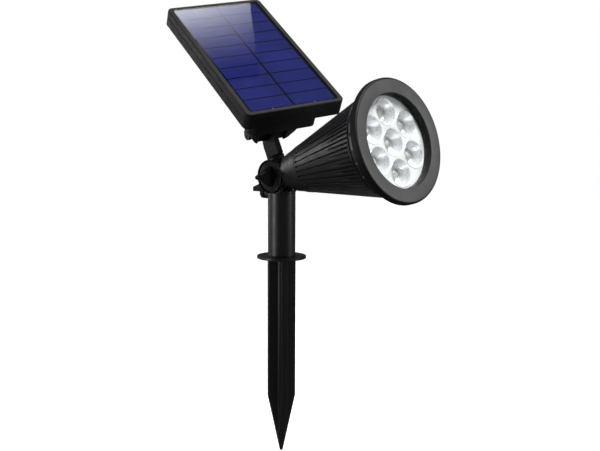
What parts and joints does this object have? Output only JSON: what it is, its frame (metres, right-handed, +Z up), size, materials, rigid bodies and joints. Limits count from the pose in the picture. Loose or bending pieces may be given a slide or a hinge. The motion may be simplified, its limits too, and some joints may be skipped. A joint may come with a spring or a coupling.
{
  "type": "solar garden spotlight",
  "caption": "Garden spotlight on a cross-shaped ground stake: a finned cone lamp with a ring of reflectors, and a tilting solar panel on a leaning arm above it.",
  "frame": {"origin": "ground level on the pole axis, at the underside of the stake's flange", "axes": "+Z up along the pole; the lamp points towards -Y; the tilt knob is on the -X side"},
  "size_m": [0.0981, 0.218, 0.3364],
  "materials": {
    "black_plastic": "moulded black plastic, satin",
    "grey_ring": "moulded dark grey plastic, matt face",
    "steel": "zinc-plated steel",
    "brass": "turned brass insert",
    "rubber": "black rubber",
    "clear_cover": "clear polycarbonate",
    "solar_film": "clear glossy laminate",
    "white_plastic": "white plastic",
    "chrome_cup": "metallised plastic",
    "led_package": "LED package with phosphor",
    "aluminium_board": "aluminium-core board",
    "solar_silicon": "blue polycrystalline silicon",
    "dark_board": "dark backing board",
    "tinned_ribbon": "tinned copper ribbon",
    "green_board": "glass-fibre circuit board",
    "battery_sleeve": "shrink sleeve"
  },
  "bodies": {
    "base": {"ground_stake": "black_plastic", "pole": "black_plastic"},
    "head": {"hub": "black_plastic", "swivel_nut": "brass", "tilt_nut": "steel", "friction_washers": "rubber", "arm_grub_screw": "steel"},
    "tilt_clamp": {"tilt_knob": "black_plastic", "tilt_screw": "steel"},
    "swivel_clamp": {"swivel_knob": "black_plastic", "swivel_screw": "steel"},
    "lamp": {"lamp_housing": "black_plastic", "bezel_ring": "grey_ring", "bezel_pins": "black_plastic", "front_lens": "clear_cover", "lamp_gasket": "rubber", "reflector_plate": "white_plastic", "reflector_cups": "chrome_cup", "led_emitters": "led_package", "led_board": "aluminium_board", "led_board_screws": "steel", "lamp_cable_gland": "rubber"},
    "arm": {"panel_arm": "black_plastic"},
    "panel": {"panel_bracket": "black_plastic", "bracket_screws": "steel", "hinge_bolt": "steel", "hinge_nut": "steel", "panel_tray": "black_plastic", "panel_frame": "black_plastic", "panel_gasket": "rubber", "solar_backboard": "dark_board", "solar_cells": "solar_silicon", "solar_ribbons": "tinned_ribbon", "solar_cover": "solar_film", "tray_screws": "steel", "battery_holder": "black_plastic", "battery_cell": "battery_sleeve", "battery_springs": "steel", "battery_cover": "black_plastic", "battery_cover_screws": "steel", "control_board": "green_board", "control_board_screws": "steel", "button_seal": "rubber", "panel_cable_gland": "rubber"},
    "button": {"power_button": "rubber"}
  },
  "joints": [
    {"name": "head_swivel", "type": "hinge", "parent": "base", "child": "head", "pos_m": [0, 0, 0.048], "axis": [0, 0, 1], "continuous": true},
    {"name": "lamp_tilt", "type": "hinge", "parent": "head", "child": "lamp", "pos_m": [0, 0, 0.06], "axis": [-1, 0, 0], "range_deg": [-15, 8]},
    {"name": "arm_swivel", "type": "hinge", "parent": "head", "child": "arm", "pos_m": [0, 0, 0.06], "axis": [0, 0.4321, 0.9018], "range_deg": [-60, 90]},
    {"name": "panel_tilt", "type": "hinge", "parent": "arm", "child": "panel", "pos_m": [0, 0.01512, 0.09156], "axis": [0.9516, -0.2772, 0.1328], "range_deg": [-110, 6]},
    {"name": "tilt_knob_turn", "type": "hinge", "parent": "head", "child": "tilt_clamp", "pos_m": [-0.0092, 0, 0.06], "axis": [-1, 0, 0], "continuous": true},
    {"name": "swivel_knob_turn", "type": "hinge", "parent": "head", "child": "swivel_clamp", "pos_m": [0, 0.014, 0.0464], "axis": [0, 1, 0], "continuous": true},
    {"name": "power_button_press", "type": "slide", "parent": "panel", "child": "button", "axis": [-0.2635, -0.5131, 0.8169], "range_m": [0, 0.0012], "stiffness_N_per_m": 600, "springref_m": -0.0006}
  ]
}
